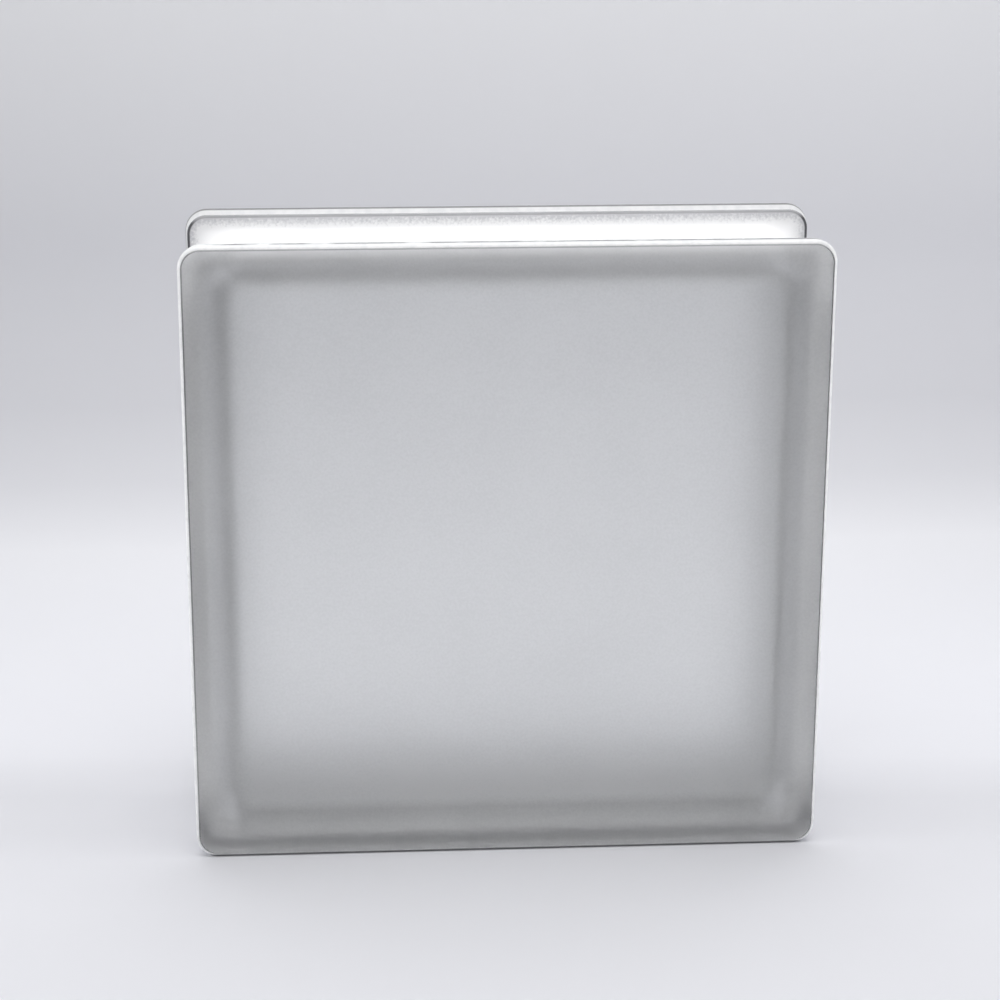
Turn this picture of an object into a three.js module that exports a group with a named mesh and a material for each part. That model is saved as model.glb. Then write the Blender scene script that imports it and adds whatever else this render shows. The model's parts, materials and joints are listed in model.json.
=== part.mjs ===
// Hollow glass block for masonry, satin faces, units in millimetres, +Z up.
// The block stands on one edge with its two faces across Y. Its origin is the middle of its foot.
// It is two pressed glass halves, each an open dish, fused rim to rim in the plane y = 0.
import * as THREE from 'three';

// Overall size
const blockWidth = 190;
const blockHeight = 190;
const blockDepth = 55;
const cornerRadius = 6.6;

// Lip round each face: a narrow flat land that the block stands on, then a taper to the shoulder
const rimRadius = 1.35;
const landWidth = 0.4;
const lipThickness = 7.5;
const lipTaper = 0.85;
const lipEdgeRadius = 0.8;

// Mortar channel round the perimeter, from the lip down to the weld
const channelDepth = 5.9;
const channelRise = 0.4;
const channelCornerRadius = 11.0;
const shoulderRun = 1.0;
const shoulderFootRadius = 4.0;

// Weld bead squeezed out where the two halves are fused
const beadHeight = 0.6;
const beadHalfWidth = 1.6;

// Dish pressed into each half
const faceThickness = 9.0;
const wallThickness = 3.4;
const wallDraft = 2.5;
const cavityFilletRadius = 4.5;
const cavityCornerRadius = 8.0;

// Fineness of the block's corners and of the arcs in its section
const cornerSegments = 12;
const arcSegments = 4;

const glassColour = 0xc9ccd1;
const glassRoughness = 0.55;

const halfDepth = blockDepth / 2;
const wallInset = channelDepth + wallThickness;

// A section is drawn with x as the inset from the block's outline and y as the depth behind its face.
function arcPoints(centre, radius, start, end, clockwise) {
  const arc = new THREE.EllipseCurve(centre.x, centre.y, radius, radius, start, end, clockwise);
  return arc.getPoints(arcSegments);
}

// Each corner is [inset, depth, radius]. A corner with a radius becomes an arc tangent to both its sides.
// The two end corners only aim the first and last sides, so they are left out of the points.
function roundedSection(corners) {
  const places = corners.map(([inset, depth]) => new THREE.Vector2(inset, depth));
  const points = [];
  for (let index = 1; index < corners.length - 1; index += 1) {
    const corner = places[index];
    const radius = corners[index][2] ?? 0;
    if (radius === 0) {
      points.push(corner);
      continue;
    }
    const back = places[index - 1].clone().sub(corner).normalize();
    const ahead = places[index + 1].clone().sub(corner).normalize();
    const halfAngle = Math.acos(back.dot(ahead)) / 2;
    const bisector = back.clone().add(ahead).normalize();
    const centre = corner.clone().addScaledVector(bisector, radius / Math.sin(halfAngle));
    const tangentLength = radius / Math.tan(halfAngle);
    const start = corner.clone().addScaledVector(back, tangentLength).sub(centre);
    const end = corner.clone().addScaledVector(ahead, tangentLength).sub(centre);
    points.push(...arcPoints(centre, radius, start.angle(), end.angle(), start.cross(end) < 0));
  }
  return points;
}

// Half of the weld bead: an arc from its foot on the channel floor to its crest in the weld plane.
function beadPoints() {
  const radius = (beadHalfWidth ** 2 + beadHeight ** 2) / (2 * beadHeight);
  const centre = new THREE.Vector2(channelDepth - beadHeight + radius, halfDepth);
  const footAngle = Math.atan2(-beadHalfWidth, channelDepth - centre.x);
  return arcPoints(centre, radius, footAngle, -Math.PI, true);
}

// Outside of a half: face rim, land, tapered lip, shoulder, channel floor and its half of the weld bead.
function outerSection() {
  const floorAim = [channelDepth, halfDepth - beadHalfWidth];
  return [
    ...roundedSection([
      [blockWidth / 2, 0],
      [0, 0, rimRadius],
      [0, rimRadius + landWidth],
      [lipTaper, lipThickness, lipEdgeRadius],
      [channelDepth + channelRise, lipThickness + shoulderRun, shoulderFootRadius],
      floorAim,
    ]),
    ...beadPoints(),
  ];
}

// Inside of a half: drafted wall from the fused rim, fillet and the flat back of the face.
function cavitySection() {
  const rim = new THREE.Vector2(wallInset, halfDepth);
  return [
    rim,
    ...roundedSection([
      [rim.x, rim.y],
      [wallInset + wallDraft, faceThickness, cavityFilletRadius],
      [blockWidth / 2, faceThickness],
    ]),
  ];
}

// The corners follow the outline down the lip, then open out over the shoulder to the channel.
function outerCornerRadius(inset, depth) {
  const parallel = cornerRadius - inset;
  if (depth <= lipThickness / 2) {
    return parallel;
  }
  const downShoulder = Math.max(inset - lipTaper, 0) / (channelDepth - lipTaper);
  return parallel + (channelCornerRadius + channelDepth - cornerRadius) * downShoulder;
}

function cavityRadius(inset) {
  return Math.max(cavityCornerRadius - (inset - wallInset), rimRadius);
}

function roundedOutline(inset, radius) {
  const right = blockWidth / 2 - inset;
  const top = blockHeight - inset;
  const quarter = Math.PI / 2;
  const outline = new THREE.Path();
  outline.absarc(right - radius, top - radius, radius, 0, quarter, false);
  outline.absarc(radius - right, top - radius, radius, quarter, 2 * quarter, false);
  outline.absarc(radius - right, inset + radius, radius, 2 * quarter, 3 * quarter, false);
  outline.absarc(right - radius, inset + radius, radius, 3 * quarter, 4 * quarter, false);
  return outline.getPoints(cornerSegments / 2);
}

// Rings of points for one half. Side is -1 for the half with its face toward -Y and 1 for the other.
function ringsAlong(section, radiusAt, side) {
  return section.map(({ x: inset, y: depth }) => {
    const y = side * (halfDepth - depth);
    const outline = roundedOutline(inset, radiusAt(inset, depth));
    return outline.map((point) => new THREE.Vector3(point.x, y, point.y));
  });
}

// Closed skin through a row of rings, with a flat cap on the first and on the last.
function loft(rings, flipped) {
  const count = rings[0].length;
  const triangles = [];
  for (let ring = 0; ring < rings.length - 1; ring += 1) {
    for (let step = 0; step < count; step += 1) {
      const near = ring * count + step;
      const next = ring * count + (step + 1) % count;
      triangles.push([near, next, near + count], [next, next + count, near + count]);
    }
  }
  for (const [ring, reversed] of [[0, true], [rings.length - 1, false]]) {
    const outline = rings[ring].map((point) => new THREE.Vector2(point.x, point.z));
    for (const corners of THREE.ShapeUtils.triangulateShape(outline, [])) {
      const cap = corners.map((corner) => ring * count + corner);
      triangles.push(reversed ? cap.reverse() : cap);
    }
  }
  const geometry = new THREE.BufferGeometry().setFromPoints(rings.flat());
  geometry.setIndex(triangles.flatMap((triangle) => (flipped ? triangle.reverse() : triangle)));
  geometry.computeVertexNormals();
  return geometry;
}

function glassHalf(name, side) {
  const rings = [
    ...ringsAlong(outerSection(), outerCornerRadius, side),
    ...ringsAlong(cavitySection(), cavityRadius, side),
  ];
  const glass = new THREE.MeshStandardMaterial({
    color: glassColour,
    roughness: glassRoughness,
    metalness: 0,
  });
  const half = new THREE.Mesh(loft(rings, side < 0), glass);
  half.name = name;
  return half;
}

const glassBlock = new THREE.Group();
glassBlock.name = 'glass_block';
glassBlock.add(glassHalf('front_half', -1), glassHalf('back_half', 1));

export default glassBlock;
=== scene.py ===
import json
import math

import bpy
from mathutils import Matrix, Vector, noise

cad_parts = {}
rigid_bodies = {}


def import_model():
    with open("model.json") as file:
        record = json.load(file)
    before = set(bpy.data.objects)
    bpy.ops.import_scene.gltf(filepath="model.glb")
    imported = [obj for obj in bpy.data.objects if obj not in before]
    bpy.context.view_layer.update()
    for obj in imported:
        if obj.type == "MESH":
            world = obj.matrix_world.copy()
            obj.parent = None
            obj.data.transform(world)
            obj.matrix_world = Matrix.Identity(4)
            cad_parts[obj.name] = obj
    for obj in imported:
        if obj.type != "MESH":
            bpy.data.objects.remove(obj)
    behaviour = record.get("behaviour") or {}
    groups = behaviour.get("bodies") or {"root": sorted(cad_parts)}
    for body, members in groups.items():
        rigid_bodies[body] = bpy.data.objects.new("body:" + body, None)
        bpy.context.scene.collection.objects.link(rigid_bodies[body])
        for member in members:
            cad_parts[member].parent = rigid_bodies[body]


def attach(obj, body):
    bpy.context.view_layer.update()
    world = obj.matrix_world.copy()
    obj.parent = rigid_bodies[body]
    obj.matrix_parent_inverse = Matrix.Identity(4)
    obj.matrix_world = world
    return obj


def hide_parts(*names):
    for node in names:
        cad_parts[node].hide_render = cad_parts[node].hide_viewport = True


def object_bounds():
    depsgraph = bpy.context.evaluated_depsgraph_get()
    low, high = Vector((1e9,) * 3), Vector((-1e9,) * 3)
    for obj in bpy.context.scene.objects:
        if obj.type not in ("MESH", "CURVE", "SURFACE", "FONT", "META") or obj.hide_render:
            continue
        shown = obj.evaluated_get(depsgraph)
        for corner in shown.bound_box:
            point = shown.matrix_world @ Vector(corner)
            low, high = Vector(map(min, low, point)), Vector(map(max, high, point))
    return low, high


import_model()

mm = 0.001
cadBox = [list(corner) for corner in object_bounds()]  # the CAD model's corners, before anything is added
lowCorner, highCorner = (Vector(corner) for corner in cadBox)
blockWidth, blockDepth, blockHeight = highCorner - lowCorner
middleHeight = (lowCorner.z + highCorner.z) / 2
faceY = blockDepth / 2  # the two faces stand at -faceY and +faceY
samePlace = 1e-6  # points nearer than this in metres count as one
scene = bpy.context.scene

# the block's section in mm: inset from the outline, depth behind the face
section = {
    "cornerRadius": 6.6,
    "rimRadius": 1.35,
    "landWidth": 0.4,
    "lipThickness": 7.5,
    "lipTaper": 0.85,
    "lipEdgeRadius": 0.8,
    "channelDepth": 5.9,
    "channelRise": 0.4,
    "channelCornerRadius": 11.0,
    "shoulderRun": 1.0,
    "shoulderFootRadius": 4.0,
    "beadHeight": 0.6,
    "beadHalfWidth": 1.6,
    "faceThickness": 9.0,
    "wallThickness": 3.4,
    "wallDraft": 2.5,
    "cavityFilletRadius": 4.5,
    "cavityCornerRadius": 8.0,
    "faceAim": 20,  # any inset well inside the face, to aim its flat side
    "cavityAim": 60,
}


def deselectAll():
    if bpy.context.object and bpy.context.object.mode == "EDIT":
        bpy.ops.object.mode_set(mode="OBJECT")
    bpy.ops.object.select_all(action="DESELECT")


def arcTo(before, corner, after, radius, steps):
    # an arc of that radius tangent to both sides of a corner
    corner = Vector(corner)
    back = (Vector(before) - corner).normalized()
    ahead = (Vector(after) - corner).normalized()
    halfAngle = back.angle(ahead) / 2
    centre = corner + (back + ahead).normalized() * radius / math.sin(halfAngle)
    start = corner + back * radius / math.tan(halfAngle) - centre
    end = corner + ahead * radius / math.tan(halfAngle) - centre
    turn = math.atan2(start.cross(end), start.dot(end))
    first = math.atan2(start.y, start.x)
    angles = [first + turn * step / steps for step in range(steps + 1)]
    return [(centre.x + radius * math.cos(a), centre.y + radius * math.sin(a)) for a in angles]


def outerSection(s, steps):
    # from the edge of a face over the lip and down to the weld
    halfDepth = blockDepth / mm / 2
    rim = (0, 0)
    landEnd = (0, s["rimRadius"] + s["landWidth"])
    lipEdge = (s["lipTaper"], s["lipThickness"])
    foot = (s["channelDepth"] + s["channelRise"], s["lipThickness"] + s["shoulderRun"])
    beadFoot = (s["channelDepth"], halfDepth - s["beadHalfWidth"])
    places = arcTo((s["faceAim"], 0), rim, landEnd, s["rimRadius"], steps)
    places.append(landEnd)
    places += arcTo(landEnd, lipEdge, foot, s["lipEdgeRadius"], steps)
    places += arcTo(lipEdge, foot, beadFoot, s["shoulderFootRadius"], steps)
    for step in range(steps + 1):
        along = step / steps
        rise = s["beadHeight"] * (1 - math.cos(math.pi * along)) / 2
        places.append((s["channelDepth"] - rise, beadFoot[1] + s["beadHalfWidth"] * along))
    return places


def cavitySection(s, steps):
    # from the flat back of a face up the drafted wall to the weld
    halfDepth = blockDepth / mm / 2
    wallInset = s["channelDepth"] + s["wallThickness"]
    rim = (wallInset, halfDepth)
    fillet = (wallInset + s["wallDraft"], s["faceThickness"])
    flat = (s["cavityAim"], s["faceThickness"])
    return arcTo(flat, fillet, rim, s["cavityFilletRadius"], steps) + [rim]


def outerCorner(s, inset, depth):
    # the corners follow the outline down the lip, then open out over the shoulder
    parallel = s["cornerRadius"] - inset
    if depth <= s["lipThickness"] / 2:
        return parallel
    downShoulder = max(0, inset - s["lipTaper"]) / (s["channelDepth"] - s["lipTaper"])
    return parallel + (s["channelCornerRadius"] + s["channelDepth"] - s["cornerRadius"]) * downShoulder


def cavityCorner(s, inset, depth):
    wallInset = s["channelDepth"] + s["wallThickness"]
    return s["cavityCornerRadius"] - (inset - wallInset)


def bothHalves(places, cornerAt):
    # rings of the front half in metres, then the same ones mirrored for the back half
    front = [(inset * mm, -faceY + depth * mm, cornerAt(section, inset, depth) * mm)
             for inset, depth in places]
    back = [(inset, -y, radius) for inset, y, radius in reversed(front) if y < -samePlace]
    return front + back


def addRing(inset, y, radius, cornerSteps):
    # a rounded square of edges, upright in the plane y, in the mesh being edited
    middle = (0, y, middleHeight)
    bpy.ops.mesh.select_all(action="DESELECT")
    bpy.ops.mesh.primitive_plane_add(size=1, location=middle, rotation=(math.pi / 2, 0, 0))
    bpy.ops.transform.resize(value=(blockWidth - 2 * inset, 1, blockHeight - 2 * inset),
                             center_override=middle)
    bpy.ops.mesh.bevel(offset=radius, segments=cornerSteps, affect="VERTICES", profile=0.5)
    bpy.ops.mesh.delete(type="ONLY_FACE")


def skinThrough(name, rings, cornerSteps, capped=True):
    # one skin bridged through the rings, with its two ends closed by flat faces
    deselectAll()
    bpy.ops.mesh.primitive_plane_add(size=1)
    skin = bpy.context.object
    skin.name = skin.data.name = name
    bpy.ops.object.mode_set(mode="EDIT")
    bpy.ops.mesh.select_all(action="SELECT")
    bpy.ops.mesh.delete(type="VERT")
    for inset, y, radius in rings:
        addRing(inset, y, radius, cornerSteps)
    bpy.ops.mesh.select_all(action="SELECT")
    bpy.ops.mesh.bridge_edge_loops()
    if capped:
        bpy.ops.mesh.select_all(action="DESELECT")
        bpy.ops.mesh.select_non_manifold()
        bpy.ops.mesh.edge_face_add()
    bpy.ops.mesh.select_all(action="SELECT")
    bpy.ops.mesh.normals_make_consistent(inside=False)
    bpy.ops.object.mode_set(mode="OBJECT")
    return skin


def editEdges(piece, wanted):
    # edit the active piece with only the edges that pass the test selected
    bpy.ops.object.mode_set(mode="EDIT")
    bpy.ops.mesh.select_mode(type="EDGE")  # or subdivide also takes what lies between the edges
    bpy.ops.mesh.select_all(action="DESELECT")
    bpy.ops.object.mode_set(mode="OBJECT")
    vertices = piece.data.vertices
    for edge in piece.data.edges:
        edge.select = wanted(*(vertices[index].co for index in edge.vertices))
    bpy.ops.object.mode_set(mode="EDIT")


def newMaterial(name):
    material = bpy.data.materials.new(name)
    material.use_nodes = True
    tree = material.node_tree
    shader = tree.nodes["Principled BSDF"]
    return material, tree, shader


def feed(tree, socket, value):
    # a socket takes a link from another node or a plain value
    if isinstance(value, bpy.types.NodeSocket):
        tree.links.new(value, socket)
    else:
        socket.default_value = value


def grainNode(tree, scale, detail=2.0, stretch=(1, 1, 1)):
    # noise over the object's own place, in marks per metre
    place = tree.nodes.new("ShaderNodeTexCoord")
    mapping = tree.nodes.new("ShaderNodeMapping")
    mapping.inputs["Scale"].default_value = stretch
    grain = tree.nodes.new("ShaderNodeTexNoise")
    grain.inputs["Scale"].default_value = scale
    grain.inputs["Detail"].default_value = detail
    tree.links.new(place.outputs["Object"], mapping.inputs["Vector"])
    tree.links.new(mapping.outputs["Vector"], grain.inputs["Vector"])
    return grain.outputs["Fac"]


def rampNode(tree, value, stops):
    ramp = tree.nodes.new("ShaderNodeValToRGB")
    tree.links.new(value, ramp.inputs["Fac"])
    points = ramp.color_ramp.elements
    while len(points) < len(stops):
        points.new(0.5)
    for point, (position, colour) in zip(points, stops):
        point.position = position
        point.color = colour
    return ramp.outputs["Color"]


def rangeNode(tree, value, fromLow, fromHigh, toLow=0, toHigh=1, smooth=False):
    spread = tree.nodes.new("ShaderNodeMapRange")
    spread.interpolation_type = "SMOOTHSTEP" if smooth else "LINEAR"
    tree.links.new(value, spread.inputs["Value"])
    spread.inputs["From Min"].default_value = fromLow
    spread.inputs["From Max"].default_value = fromHigh
    spread.inputs["To Min"].default_value = toLow
    spread.inputs["To Max"].default_value = toHigh
    return spread.outputs["Result"]


def mathNode(tree, operation, first, second=None):
    step = tree.nodes.new("ShaderNodeMath")
    step.operation = operation
    feed(tree, step.inputs[0], first)
    if second is not None:
        feed(tree, step.inputs[1], second)
    return step.outputs["Value"]


def times(tree, first, second):
    return mathNode(tree, "MULTIPLY", first, second)


def plus(tree, first, second):
    return mathNode(tree, "ADD", first, second)


def colourMix(tree, kind, factor, low, high):
    mix = tree.nodes.new("ShaderNodeMix")
    mix.data_type = "RGBA"
    mix.blend_type = kind
    feed(tree, mix.inputs["Factor"], factor)
    for socket, colour in zip(mix.inputs[6:8], (low, high)):  # the two colour sockets
        feed(tree, socket, colour)
    return mix


def blendNode(tree, factor, low, high):
    # low where the factor is 0, high where it is 1
    return colourMix(tree, "MIX", factor, low, high).outputs[2]


def multiplyNode(tree, factor, colour, by):
    # the colour, and the colour times another where the factor is 1
    mix = colourMix(tree, "MULTIPLY", factor, colour, by)
    mix.clamp_result = True
    return mix.outputs[2]


def bumpNode(tree, height, mmHigh, strength):
    bump = tree.nodes.new("ShaderNodeBump")
    bump.inputs["Distance"].default_value = mmHigh * mm
    bump.inputs["Strength"].default_value = strength
    tree.links.new(height, bump.inputs["Height"])
    return bump.outputs["Normal"]


def placeNodes(tree):
    # the object's own x, y and z in metres
    place = tree.nodes.new("ShaderNodeTexCoord")
    split = tree.nodes.new("ShaderNodeSeparateXYZ")
    tree.links.new(place.outputs["Object"], split.inputs["Vector"])
    return split.outputs["X"], split.outputs["Y"], split.outputs["Z"]


def insetNode(tree):
    # how far in from the block's rounded outline a point is, in mm
    radius = section["cornerRadius"] * mm
    straight = blockWidth / 2 - radius
    x, y, z = placeNodes(tree)
    offMiddle = mathNode(tree, "SUBTRACT", z, middleHeight)
    squares = []
    for offset in (x, offMiddle):
        pastStraight = mathNode(tree, "SUBTRACT", mathNode(tree, "ABSOLUTE", offset), straight)
        squares.append(mathNode(tree, "POWER", mathNode(tree, "MAXIMUM", pastStraight, 0), 2))
    reach = mathNode(tree, "SQRT", plus(tree, *squares))
    return times(tree, mathNode(tree, "SUBTRACT", radius, reach), 1 / mm)


def grey(tone):
    return (tone, tone, tone, 1)


def greyTones(tree, value, tones, unit=1.0):
    # tones of grey along a value, each given as its place and its tone
    first, last = tones[0][0], tones[-1][0]
    stops = [((place - first) / (last - first), grey(tone)) for place, tone in tones]
    return rampNode(tree, rangeNode(tree, value, first * unit, last * unit), stops)


def inMm(values):
    return [value * mm for value in values]


# glass, with depths, heights and insets in mm and grain in marks per metre
glass = {
    "cornerSteps": 16,
    "arcSteps": 10,
    "smoothAngle": 30,
    "ior": 1.5,
    "clearTint": (0.993, 0.996, 0.995, 1),
    "clearGrain": 400,
    "clearWave": 70,
    "clearWaveBump": (0.4, 0.25),  # mm high, strength
    "clearRoughness": (0.02, 0.05),
    "turnGrain": 300,
    "roughnessFrom": (0.3, 0.7),  # the part of a grain that the roughness runs over
    "satinTint": (0.955, 0.96, 0.958, 1),
    "satinShade": (0.85, 0.857, 0.855, 1),
    "satinCloud": 60,
    "satinSpeck": 1300,
    "cloudShare": 0.35,
    "speckShare": 0.65,
    "mottleFrom": (0.38, 0.62),
    "mottleRoughnessFrom": (0.35, 0.65),
    "satinRoughness": (0.63, 0.67),
    "satinBump": (0.02, 0.4),
    "panelEnds": (77.0, 81.0),  # how far from the middle the panel's painted light and shade gives way to that of the side bands
    # painted light and shade on the satin faces by height: darker along the foot with a thin dark line
    # near 15 mm, a lighter strip above it and lighter at the top edge
    "panelTones": [
        (0, 0.86), (1.5, 0.9), (4, 1.05), (7, 0.86), (10, 0.93), (13, 0.93), (14.8, 0.84),
        (16.3, 0.95), (18.5, 1.1), (27, 1.1), (33, 1.0), (183, 1.0), (186, 1.09), (190, 1.12),
    ],
    # painted light and shade on the side bands by height: lighter just above the foot, darker from 8 to
    # 22 mm and towards the top
    "sideTones": [
        (0, 1.0), (4, 1.15), (6, 1.12), (8, 0.85), (10, 0.81), (13, 0.74),
        (18, 0.72), (22, 0.84), (27, 0.97), (120, 1.0), (160, 0.94), (190, 0.9),
    ],
    # painted shade, a little darker on the upper part of the satin
    "headTone": (0.97, 0.97, 0.97, 1),
    "headFrom": (0.62, 0.92),  # shares of the block's height
    # painted shade: the turns' glass dark by height, painted lighter along the foot and the head
    "edgeTones": [
        (0, 0.6), (1.6, 0.6), (2.6, 0.45), (12, 0.42), (20, 0.34),
        (45, 0.3), (70, 0.21), (187.5, 0.2), (189, 0.45), (190, 0.45),
    ],
    "groundTint": (0.96, 0.96, 0.96, 1),
    "groundShade": (0.86, 0.865, 0.87, 1),
    "groundScratch": 500,
    "scratchStretch": (1, 0.2, 1),
    "groundFrom": (0.35, 0.6),
    "groundRoughness": (0.3, 0.45),
    "groundTransmission": 0.2,
    "groundBump": (0.03, 0.4),
    # painted contact shadow on the rim along the foot
    "footTint": (0.12, 0.12, 0.125, 1),
    "footHeight": (0.6, 1.0),
    "footDepth": (1.4, 1.1),
    # painted shade: the lip at the back duller, its rim darker still
    "backLip": 0.8,
    "backLipFrom": (0.4, 0.6),
    "backRim": 0.2,
    "backRimFrom": (24.4, 25.0),
    # painted shade: a broken dark line on the front lip, standing in for the shaded line at the weld
    # behind it
    "seamDark": (0.08, 0.08, 0.085, 1),
    "seamDashes": 60,
    "seamGaps": (0.42, 0.52),
    "seamFrom": (24.8, 23.0),
    "seamTop": (0.975, 0.985),  # shares of the block's height
    "seamAcross": 80,
    "seamFuller": (-0.03, 0.11),  # fewer gaps to the right
    "faceEdge": (0.003, 0.08),
    "groundEnd": 6.7,
    "lipEdge": (6.7, 7.62),
    "shoulderDepth": 8.6,
    "satinFoot": 1.5,
}


def makeSatinGlass(g):
    material, tree, shader = newMaterial("satin_glass")
    shader.inputs["IOR"].default_value = g["ior"]
    shader.inputs["Transmission Weight"].default_value = 1
    cloud = grainNode(tree, g["satinCloud"], detail=3)
    speck = grainNode(tree, g["satinSpeck"])
    mottle = plus(tree, times(tree, cloud, g["cloudShare"]), times(tree, speck, g["speckShare"]))
    low, high = g["mottleFrom"]
    colour = rampNode(tree, mottle, [(low, g["satinShade"]), (high, g["satinTint"])])
    x, y, z = placeNodes(tree)
    # painted light and shade by height, across the panel and down the side bands
    aside = rangeNode(tree, mathNode(tree, "ABSOLUTE", x), *inMm(g["panelEnds"]))
    panel, side = (greyTones(tree, z, g[tones], mm) for tones in ("panelTones", "sideTones"))
    colour = multiplyNode(tree, 1, colour, blendNode(tree, aside, panel, side))
    # painted shade on the upper part
    headFrom, headTo = (share * blockHeight for share in g["headFrom"])
    head = rangeNode(tree, z, headFrom, headTo, smooth=True)
    colour = multiplyNode(tree, head, colour, g["headTone"])
    rough = rangeNode(tree, mottle, *g["mottleRoughnessFrom"], *g["satinRoughness"])
    tree.links.new(colour, shader.inputs["Base Color"])
    tree.links.new(rough, shader.inputs["Roughness"])
    tree.links.new(bumpNode(tree, speck, *g["satinBump"]), shader.inputs["Normal"])
    return material


def makeClearGlass(g):
    material, tree, shader = newMaterial("clear_glass")
    shader.inputs["Base Color"].default_value = g["clearTint"]
    shader.inputs["IOR"].default_value = g["ior"]
    shader.inputs["Transmission Weight"].default_value = 1
    grain = grainNode(tree, g["clearGrain"])
    wave = grainNode(tree, g["clearWave"], detail=1)
    rough = rangeNode(tree, grain, *g["roughnessFrom"], *g["clearRoughness"])
    tree.links.new(rough, shader.inputs["Roughness"])
    tree.links.new(bumpNode(tree, wave, *g["clearWaveBump"]), shader.inputs["Normal"])
    return material


def seamShadeNode(tree, g, x, y, z):
    # painted shade: a broken dark line along the top of the front lip, where it meets the channel
    start, end = inMm(g["seamFrom"])
    across = g["seamAcross"] * mm
    dashes = grainNode(tree, g["seamDashes"], detail=2.5, stretch=(1, 0, 0))
    gap = plus(tree, dashes, rangeNode(tree, x, -across, across, *g["seamFuller"]))
    onTop = rangeNode(tree, z, *(share * blockHeight for share in g["seamTop"]))
    inFront = times(tree, onTop, rangeNode(tree, y, -mm, 0, 1, 0))
    line = times(tree, rangeNode(tree, gap, *g["seamGaps"]), inFront)
    return times(tree, line, rangeNode(tree, y, -start, -end))


def makeGroundGlass(g):
    # the lands that the block stands on, ground white
    material, tree, shader = newMaterial("ground_glass")
    shader.inputs["IOR"].default_value = g["ior"]
    shader.inputs["Transmission Weight"].default_value = g["groundTransmission"]
    scratch = grainNode(tree, g["groundScratch"], detail=3, stretch=g["scratchStretch"])
    low, high = g["groundFrom"]
    colour = rampNode(tree, scratch, [(low, g["groundShade"]), (high, g["groundTint"])])
    x, y, z = placeNodes(tree)
    # painted contact shadow on the rim along the foot
    outer, inner = (faceY - depth for depth in inMm(g["footDepth"]))
    onRim = rangeNode(tree, mathNode(tree, "ABSOLUTE", y), outer, inner)
    onFoot = times(tree, rangeNode(tree, z, *inMm(g["footHeight"]), 1, 0), onRim)
    colour = blendNode(tree, onFoot, colour, g["footTint"])  # painted contact shadow, dark grey where it stands
    # painted shade on the lip at the back, darker on its rim
    rimFrom, rimTo = inMm(g["backRimFrom"])
    low, high = g["backLipFrom"]
    lip = rampNode(tree, rangeNode(tree, y, 0, rimFrom), [(low, grey(1)), (high, grey(g["backLip"]))])
    backShade = blendNode(tree, rangeNode(tree, y, rimFrom, rimTo), lip, grey(g["backRim"]))
    colour = multiplyNode(tree, 1, colour, backShade)  # painted shade: the lip at the back is duller than the one in front
    # painted shade along the top of the front lip
    colour = multiplyNode(tree, seamShadeNode(tree, g, x, y, z), colour, g["seamDark"])
    rough = rangeNode(tree, scratch, *g["roughnessFrom"], *g["groundRoughness"])
    tree.links.new(colour, shader.inputs["Base Color"])
    tree.links.new(rough, shader.inputs["Roughness"])
    tree.links.new(bumpNode(tree, scratch, *g["groundBump"]), shader.inputs["Normal"])
    return material


def makeEdgeGlass(g):
    # the narrow fire-polished turns beside the lips, their glass painted dark as painted shade, lighter
    # along the foot and the head as painted light
    material, tree, shader = newMaterial("edge_glass")
    shader.inputs["IOR"].default_value = g["ior"]
    shader.inputs["Transmission Weight"].default_value = 1
    x, y, z = placeNodes(tree)
    grain = grainNode(tree, g["turnGrain"])
    rough = rangeNode(tree, grain, *g["roughnessFrom"], *g["clearRoughness"])
    tree.links.new(greyTones(tree, z, g["edgeTones"], mm), shader.inputs["Base Color"])
    tree.links.new(rough, shader.inputs["Roughness"])
    return material


glassMakers = (makeSatinGlass, makeClearGlass, makeGroundGlass, makeEdgeGlass)
satinSlot, clearSlot, groundSlot, edgeSlot = range(len(glassMakers))


def glassSlot(depth, g):
    # satin face and shoulder, ground lip between two turns painted dark as painted shade, then clear
    # glass
    if depth < g["faceEdge"][0] or g["lipEdge"][1] < depth < g["shoulderDepth"]:
        return satinSlot
    if depth < g["faceEdge"][1] or g["lipEdge"][0] < depth < g["lipEdge"][1]:
        return edgeSlot
    return groundSlot if depth < g["groundEnd"] else clearSlot


def makeGlassBody(g):
    outerRings = bothHalves(outerSection(section, g["arcSteps"]), outerCorner)
    innerRings = bothHalves(cavitySection(section, g["arcSteps"]), cavityCorner)
    outer = skinThrough("glass_body", outerRings, g["cornerSteps"])
    inner = skinThrough("cavity", innerRings, g["cornerSteps"])
    bpy.ops.object.mode_set(mode="EDIT")
    bpy.ops.mesh.select_all(action="SELECT")
    bpy.ops.mesh.flip_normals()  # the cavity's skin faces away from the glass, into the hollow
    deselectAll()
    outer.select_set(True)
    inner.select_set(True)
    bpy.context.view_layer.objects.active = outer
    bpy.ops.object.join()
    body = bpy.context.object
    bpy.ops.object.shade_smooth_by_angle(angle=math.radians(g["smoothAngle"]))
    body.data.materials.clear()
    for make in glassMakers:
        body.data.materials.append(make(g))
    for face in body.data.polygons:
        depth = (faceY - abs(face.center.y)) / mm
        # along the foot the face's turn keeps the satin glass instead of the glass painted dark
        onFoot = depth < g["faceEdge"][1] and face.center.z < g["satinFoot"] * mm
        face.material_index = satinSlot if onFoot else glassSlot(depth, g)
    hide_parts("front_half", "back_half")
    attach(body, "root")
    print("glass body:", len(body.data.polygons), "faces")
    return body


makeGlassBody(glass)

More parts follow.
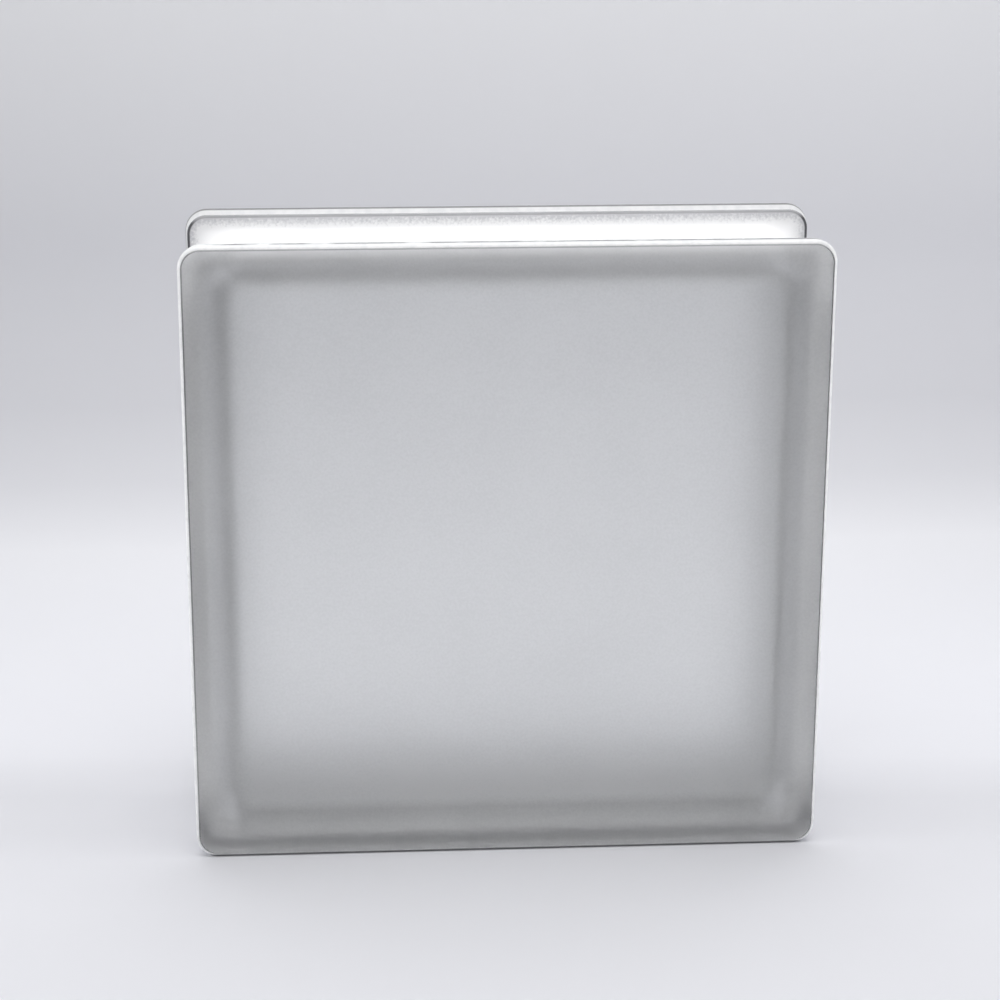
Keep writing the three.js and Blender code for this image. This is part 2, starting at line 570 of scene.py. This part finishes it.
# white coat on the walls of the channel, with insets, depths and heights in mm
coat = {
    "cornerSteps": 16,
    "arcSteps": 10,
    "sideCuts": 69,
    "smoothAngle": 40,
    "proud": 0.12,
    "sunk": 0.08,
    "edgeInset": 0.85,
    "edgeWander": 0.1,
    "creaseHalfWidth": 0.3,
    "creaseDepth": 0.25,
    "creaseShares": (0.6, 0.4),  # the even and the uneven share of its depth
    "creaseWander": 0.35,
    "wanderMarks": (90, 420),
    "fineWander": 0.5,
    "colour": (0.97, 0.97, 0.97, 1),
    "shade": (0.93, 0.93, 0.935, 1),
    "patchGrain": 45,
    "patchFrom": (0.4, 0.7),
    # painted shade: a dark line on the coat at the turns, painted lighter at the head
    "turnShadeColour": (0.04, 0.04, 0.045, 1),
    "turnShadeTop": (0.34, 0.34, 0.35, 1),
    "turnTopHeight": (186.6, 188.2),
    "turnEnd": (0.75, 1.05),
    "turnGrain": 110,
    "turnGaps": (0.42, 0.5),
    "backTurnInset": 0.65,
    # painted shade: grey beside the back lip, with a ragged edge
    "backShadeColour": (0.58, 0.58, 0.6, 1),
    "backShadeEnd": (1.9, 4.0),
    "shadeEdgeGrain": 1400,
    "shadeEdgeWidth": 4.5,
    # painted shade in the crease along the weld
    "creaseShadeColour": (0.3, 0.3, 0.32, 1),
    "creaseEnd": (0.3, 0.6),
    "creaseGrain": 160,
    "creaseShift": 0.9,
    "creaseGapGrain": 110,
    "creaseGapStretch": (1, 0.1, 1),
    "creaseGaps": (0.36, 0.46),
    "rolledGrain": 900,
    "rolledStretch": (1, 0.35, 1),
    "rolledBump": (0.08, 0.5),
    "roughnessFrom": (0.3, 0.7),
    "roughness": (0.5, 0.7),
    # painted light and shade on the inner side of the coat: darker than outside, lighter on the channel
    # floor at the foot, dark on the foot's shoulder, paler low down and to the right
    "bondShadedColour": (0.76, 0.76, 0.765, 1),
    "bondShade": (0.71, 0.71, 0.715, 1),
    "bondFootLit": (0.88, 0.88, 0.885, 1),
    "bondFootHeight": (8, 16),
    "bondMiddleLit": (1.0, 1.0, 1.0, 1),
    "bondMiddleEnd": (14, 17),
    "bondHeelShade": (0.46, 0.46, 0.47, 1),
    "bondHeelInset": (3.2, 5.2),
    "bondLowLit": (0.98, 0.98, 0.985, 1),
    "bondLowHeight": (20, 75),
    "bondRightLit": 0.45,
    "glowReach": 1.2,
    "glowInset": (2.8, 6.0),
    "glowHeight": (0.86, 0.98),  # shares of the block's height
    "floorGlow": 0.2,
    "sideGlow": 0.1,
}


def newPaint(name, c):
    # paint that lets light glow through where it is thin, most of it at the head
    material, tree, shader = newMaterial(name)
    shader.inputs["Subsurface Radius"].default_value = (1, 1, 1)
    shader.inputs["Subsurface Scale"].default_value = c["glowReach"] * mm
    x, y, z = placeNodes(tree)
    inset = insetNode(tree)
    thin = rangeNode(tree, inset, *c["glowInset"], 1, c["floorGlow"])
    glowFrom, glowTo = (share * blockHeight for share in c["glowHeight"])
    upper = rangeNode(tree, z, glowFrom, glowTo, c["sideGlow"], 1)
    tree.links.new(times(tree, thin, upper), shader.inputs["Subsurface Weight"])
    return material, tree, shader, inset, (x, y, z)


def patchyNode(tree, c, patch, colour, shade):
    # two near colours in soft patches
    return blendNode(tree, rangeNode(tree, patch, *c["patchFrom"]), colour, shade)


def offsetNode(tree, grain, width):
    # a grain spread evenly to both sides of 0
    return times(tree, mathNode(tree, "SUBTRACT", grain, 0.5), width)


def makeCoatPaint(c):
    # white paint, with painted shade: grey beside the back lip, dark on the turns and dark in the crease
    # along the weld
    material, tree, shader, inset, (x, y, z) = newPaint("edge_coating", c)
    patch = grainNode(tree, c["patchGrain"], detail=3)
    colour = patchyNode(tree, c, patch, c["colour"], c["shade"])
    atBack = mathNode(tree, "GREATER_THAN", y, 0)
    # painted shade beside the back lip, with a ragged edge
    shadeEdge = offsetNode(tree, grainNode(tree, c["shadeEdgeGrain"], detail=3), c["shadeEdgeWidth"])
    backShade = times(tree, rangeNode(tree, plus(tree, inset, shadeEdge), *c["backShadeEnd"], 1, 0), atBack)
    colour = blendNode(tree, backShade, colour, c["backShadeColour"])
    # painted shade: a dark line on the coat at the turns
    broken = rangeNode(tree, grainNode(tree, c["turnGrain"]), *c["turnGaps"])
    broken = mathNode(tree, "MAXIMUM", broken, atBack)  # the painted dark turn at the front shows in places
    reach = mathNode(tree, "SUBTRACT", inset, times(tree, atBack, c["backTurnInset"]))
    turn = times(tree, rangeNode(tree, reach, *c["turnEnd"], 1, 0), broken)
    # painted light: the dark line lighter at the head
    atTop = rangeNode(tree, z, *inMm(c["turnTopHeight"]))
    colour = blendNode(tree, turn, colour, blendNode(tree, atTop, c["turnShadeColour"], c["turnShadeTop"]))
    # painted shade in the crease along the weld, broken into dashes
    wander = offsetNode(tree, grainNode(tree, c["creaseGrain"]), c["creaseShift"] * mm)
    offWeld = mathNode(tree, "ABSOLUTE", plus(tree, y, wander))
    dashes = grainNode(tree, c["creaseGapGrain"], stretch=c["creaseGapStretch"])
    gaps = rangeNode(tree, dashes, *c["creaseGaps"])
    creased = times(tree, rangeNode(tree, offWeld, *inMm(c["creaseEnd"]), 1, 0), gaps)
    colour = blendNode(tree, creased, colour, c["creaseShadeColour"])
    rolled = grainNode(tree, c["rolledGrain"], detail=3, stretch=c["rolledStretch"])
    rough = rangeNode(tree, rolled, *c["roughnessFrom"], *c["roughness"])
    tree.links.new(colour, shader.inputs["Base Color"])
    tree.links.new(rough, shader.inputs["Roughness"])
    tree.links.new(bumpNode(tree, rolled, *c["rolledBump"]), shader.inputs["Normal"])
    return material


def makeBondPaint(c):
    # the side of the coat that holds to the glass and is seen through it, painted darker than the paint
    # outside as painted shade
    material, tree, shader, inset, (x, y, z) = newPaint("coating_bond", c)
    patch = grainNode(tree, c["patchGrain"], detail=3)
    colour = patchyNode(tree, c, patch, c["bondShadedColour"], c["bondShade"])
    low = rangeNode(tree, z, *inMm(c["bondLowHeight"]), 1, 0, smooth=True)
    right = rangeNode(tree, x, 0, blockWidth / 2, 0, c["bondRightLit"])
    paler = mathNode(tree, "MAXIMUM", low, right)
    colour = blendNode(tree, paler, colour, c["bondLowLit"])  # painted light, paler low down and to the right
    # painted light on the channel floor at the foot, painted shade on the foot's shoulder
    nearWeld = rangeNode(tree, mathNode(tree, "ABSOLUTE", y), *inMm(c["bondMiddleEnd"]), 1, 0)
    foot = blendNode(tree, nearWeld, c["bondFootLit"], c["bondMiddleLit"])
    foot = blendNode(tree, rangeNode(tree, inset, *c["bondHeelInset"]), c["bondHeelShade"], foot)
    atFoot = rangeNode(tree, z, *inMm(c["bondFootHeight"]), 1, 0)
    colour = blendNode(tree, atFoot, colour, foot)
    rough = rangeNode(tree, patch, *c["roughnessFrom"], *c["roughness"])
    tree.links.new(colour, shader.inputs["Base Color"])
    tree.links.new(rough, shader.inputs["Roughness"])
    return material


def coatPlaces(c):
    # the channel's section from the coat's edge on the shoulder down to the weld, a little proud
    bare = outerSection(section, c["arcSteps"])
    behind = section["lipThickness"] / 2
    first = next(index for index, (inset, depth) in enumerate(bare)
                 if depth > behind and inset > c["edgeInset"])
    (inset0, depth0), (inset1, depth1) = bare[first - 1], bare[first]
    along = (c["edgeInset"] - inset0) / (inset1 - inset0)
    places = [(c["edgeInset"], depth0 + (depth1 - depth0) * along)] + bare[first:]
    middle = blockDepth / mm / 2
    places.insert(-1, (places[-1][0], middle - c["creaseHalfWidth"]))
    return [(inset - c["proud"], depth) for inset, depth in places]


def wanderCoat(band, c):
    # the coat's two edges and the crease along the weld aren't quite straight
    coarse, fine = c["wanderMarks"]
    evenShare, unevenShare = c["creaseShares"]
    rows = sorted({round(vertex.co.y, 6) for vertex in band.data.vertices})
    for vertex in band.data.vertices:
        place = vertex.co
        side = Vector((place.x, 0, place.z - middleHeight))
        outward = side / max(abs(side.x), abs(side.z))
        drift = noise.noise(place * coarse) + c["fineWander"] * noise.noise(place * fine)
        row = round(place.y, 6)
        if row in (rows[0], rows[-1]):
            vertex.co -= outward * max(0, drift) * c["edgeWander"] * mm
        elif abs(row) < samePlace:
            vertex.co -= outward * c["creaseDepth"] * (evenShare + unevenShare * drift) * mm
            vertex.co.y += drift * c["creaseWander"] * mm


def makeEdgeCoating(c):
    rings = bothHalves(coatPlaces(c), outerCorner)
    band = skinThrough("edge_coating", rings, c["cornerSteps"], capped=False)
    editEdges(band, lambda start, end: (start - end).length > blockWidth / 2)
    bpy.ops.mesh.subdivide(number_cuts=c["sideCuts"])  # so that a straight side can wander a little
    bpy.ops.object.mode_set(mode="OBJECT")
    wanderCoat(band, c)
    band.data.materials.clear()
    band.data.materials.append(makeCoatPaint(c))
    band.data.materials.append(makeBondPaint(c))
    shell = band.modifiers.new("film", "SOLIDIFY")
    shell.thickness = (c["proud"] + c["sunk"]) * mm
    shell.offset = -1
    shell.material_offset = 1  # the inner side takes the bond paint
    bpy.ops.object.modifier_apply(modifier="film")
    bpy.ops.object.shade_smooth_by_angle(angle=math.radians(c["smoothAngle"]))
    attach(band, "root")
    print("edge coating:", len(band.data.polygons), "faces")
    return band


makeEdgeCoating(coat)

# floor and backdrop in one sweep, in metres
sweep = {
    "halfWidth": 1.5,
    "frontY": -2.0,
    "bendY": 0.20,
    "bendRadius": 0.12,
    "bendSteps": 16,
    "wallHeight": 1.6,
    "roughness": 0.8,
    "toneRun": (-0.15, 0.55),
    "tones": [  # painted light and shade: how far back along the floor and up the wall, tone, and how much bluer
        (0.03, 0.845, 1.03),
        (0.08, 0.87, 1.03),
        (0.25, 0.89, 1.02),
        (0.30, 0.77, 1.03),
        (0.35, 0.725, 1.035),
        (0.43, 0.79, 1.03),
        (0.53, 0.915, 1.01),
    ],
    "redShare": 0.985,
    "greenShare": 0.99,
    # painted shadow of the block on the floor, from the block forwards
    "frontShadowTones": [
        (-0.12, 0.975), (-0.07, 0.96), (-0.035, 0.92), (-0.015, 0.89),
        (0.012, 0.885), (0.03, 0.935), (0.045, 0.99), (0.055, 1.0),
    ],
    "frontTurn": 0.057,
    # painted light, lighter to the right
    "leanAcross": 0.2,
    "leanHeight": 0.1,
    "floorLean": 0.004,
    "wallLean": 0.045,
}


def makeSweepPaper(w):
    material, tree, shader = newMaterial("sweep_paper")
    x, y, z = placeNodes(tree)
    shader.inputs["Roughness"].default_value = w["roughness"]
    start, end = w["toneRun"]
    # painted light and shade along the floor and up the wall
    run = plus(tree, y, z)  # back along the floor and up the wall
    stops = []
    for place, tone, blue in w["tones"]:
        colour = (tone * w["redShare"], tone * w["greenShare"], min(1, tone * blue), 1)
        stops.append(((place - start) / (end - start), colour))
    tone = rampNode(tree, rangeNode(tree, run, start, end), stops)
    turned = plus(tree, run, times(tree, x, w["frontTurn"]))
    front = greyTones(tree, turned, w["frontShadowTones"])
    tone = multiplyNode(tree, 1, tone, front)  # painted shadow: the floor is a little darker from the block forwards
    lean = tree.nodes.new("ShaderNodeVectorMath")  # painted light: a little lighter to the right, the wall more so
    lean.operation = "SCALE"
    tree.links.new(tone, lean.inputs["Vector"])
    slope = rangeNode(tree, z, 0, w["leanHeight"], w["floorLean"], w["wallLean"])
    rightward = times(tree, rangeNode(tree, x, -w["leanAcross"], w["leanAcross"], -1, 1), slope)
    tree.links.new(plus(tree, rightward, 1), lean.inputs["Scale"])
    tree.links.new(lean.outputs["Vector"], shader.inputs["Base Color"])
    # the back of the paper is left out, so that the block can be seen from behind as well
    side = tree.nodes.new("ShaderNodeNewGeometry")
    clear = tree.nodes.new("ShaderNodeBsdfTransparent")
    paper = tree.nodes.new("ShaderNodeMixShader")
    tree.links.new(side.outputs["Backfacing"], paper.inputs["Fac"])
    tree.links.new(shader.outputs["BSDF"], paper.inputs[1])
    tree.links.new(clear.outputs["BSDF"], paper.inputs[2])
    tree.links.new(paper.outputs["Shader"], tree.nodes["Material Output"].inputs["Surface"])
    return material


def makeSweep(w):
    deselectAll()
    bpy.ops.mesh.primitive_plane_add(size=1)
    stage = bpy.context.object
    stage.name = stage.data.name = "sweep"
    bpy.ops.object.mode_set(mode="EDIT")
    bpy.ops.mesh.select_all(action="SELECT")
    bpy.ops.transform.resize(value=(2 * w["halfWidth"], w["bendY"] - w["frontY"], 1))
    bpy.ops.transform.translate(value=(0, (w["bendY"] + w["frontY"]) / 2, 0))
    bpy.ops.object.mode_set(mode="OBJECT")
    bend = w["bendY"] - samePlace
    editEdges(stage, lambda start, end: start.y > bend and end.y > bend)
    bpy.ops.mesh.spin(steps=w["bendSteps"], angle=-math.pi / 2, axis=(1, 0, 0),
                      center=(0, w["bendY"], w["bendRadius"]))
    bpy.ops.mesh.extrude_region_move(TRANSFORM_OT_translate={"value": (0, 0, w["wallHeight"])})
    bpy.ops.mesh.select_all(action="SELECT")
    bpy.ops.mesh.normals_make_consistent(inside=True)  # up and towards the block
    bpy.ops.object.mode_set(mode="OBJECT")
    bpy.ops.object.shade_smooth()
    stage.data.materials.append(makeSweepPaper(w))
    print("sweep:", len(stage.data.polygons), "faces")
    return stage


makeSweep(sweep)

light = {
    "topPlace": (0, -0.1, 0.7),
    "topSize": 0.8,
    "topWatts": 4.7,
    "sidePlace": (0.7, -0.1, 0.12),
    "sideSize": 0.3,
    "sideSpread": 40,
    "sideWatts": 0.2,
    "worldColour": (0.2, 0.2, 0.21, 1),
}


def addSoftbox(name, place, size, watts):
    # a square lamp turned towards the block
    toBlock = Vector((0, 0, middleHeight)) - Vector(place)
    turn = toBlock.to_track_quat("-Z", "Y").to_euler()
    bpy.ops.object.light_add(type="AREA", location=place, rotation=turn)
    lamp = bpy.context.object
    lamp.name = name
    lamp.data.size = size
    lamp.data.energy = watts
    return lamp


def addLights(p):
    deselectAll()
    top = addSoftbox("top_softbox", p["topPlace"], p["topSize"], p["topWatts"])
    top.rotation_euler = (0, 0, 0)  # straight down
    x, y, z = p["sidePlace"]
    for name, side in (("left_softbox", -x), ("right_softbox", x)):
        strip = addSoftbox(name, (side, y, z), p["sideSize"], p["sideWatts"])
        strip.data.spread = math.radians(p["sideSpread"])
    world = bpy.data.worlds.new("studio")
    scene.world = world
    world.use_nodes = True
    world.node_tree.nodes["Background"].inputs["Color"].default_value = p["worldColour"]
    print("lights placed")


addLights(light)

camera = {
    "placeMm": (-51.4, -773.7, 354.1),
    "turnDegrees": (72.139, -0.182, -3.680),
    "lensMm": 96.03,
    "sensorMm": 36,
    "clipMm": 10,
}


def addCamera(c):
    turn = [math.radians(angle) for angle in c["turnDegrees"]]
    bpy.ops.object.camera_add(location=inMm(c["placeMm"]), rotation=turn)
    view = bpy.context.object
    view.name = "main_view"
    view.data.lens = c["lensMm"]
    view.data.sensor_width = c["sensorMm"]
    view.data.clip_start = c["clipMm"] * mm
    scene.camera = view
    print("camera set")


addCamera(camera)

scene.view_settings.view_transform = "Standard"
scene.cycles.max_bounces = 32
scene.cycles.diffuse_bounces = 8
scene.cycles.glossy_bounces = 16
scene.cycles.transmission_bounces = 32
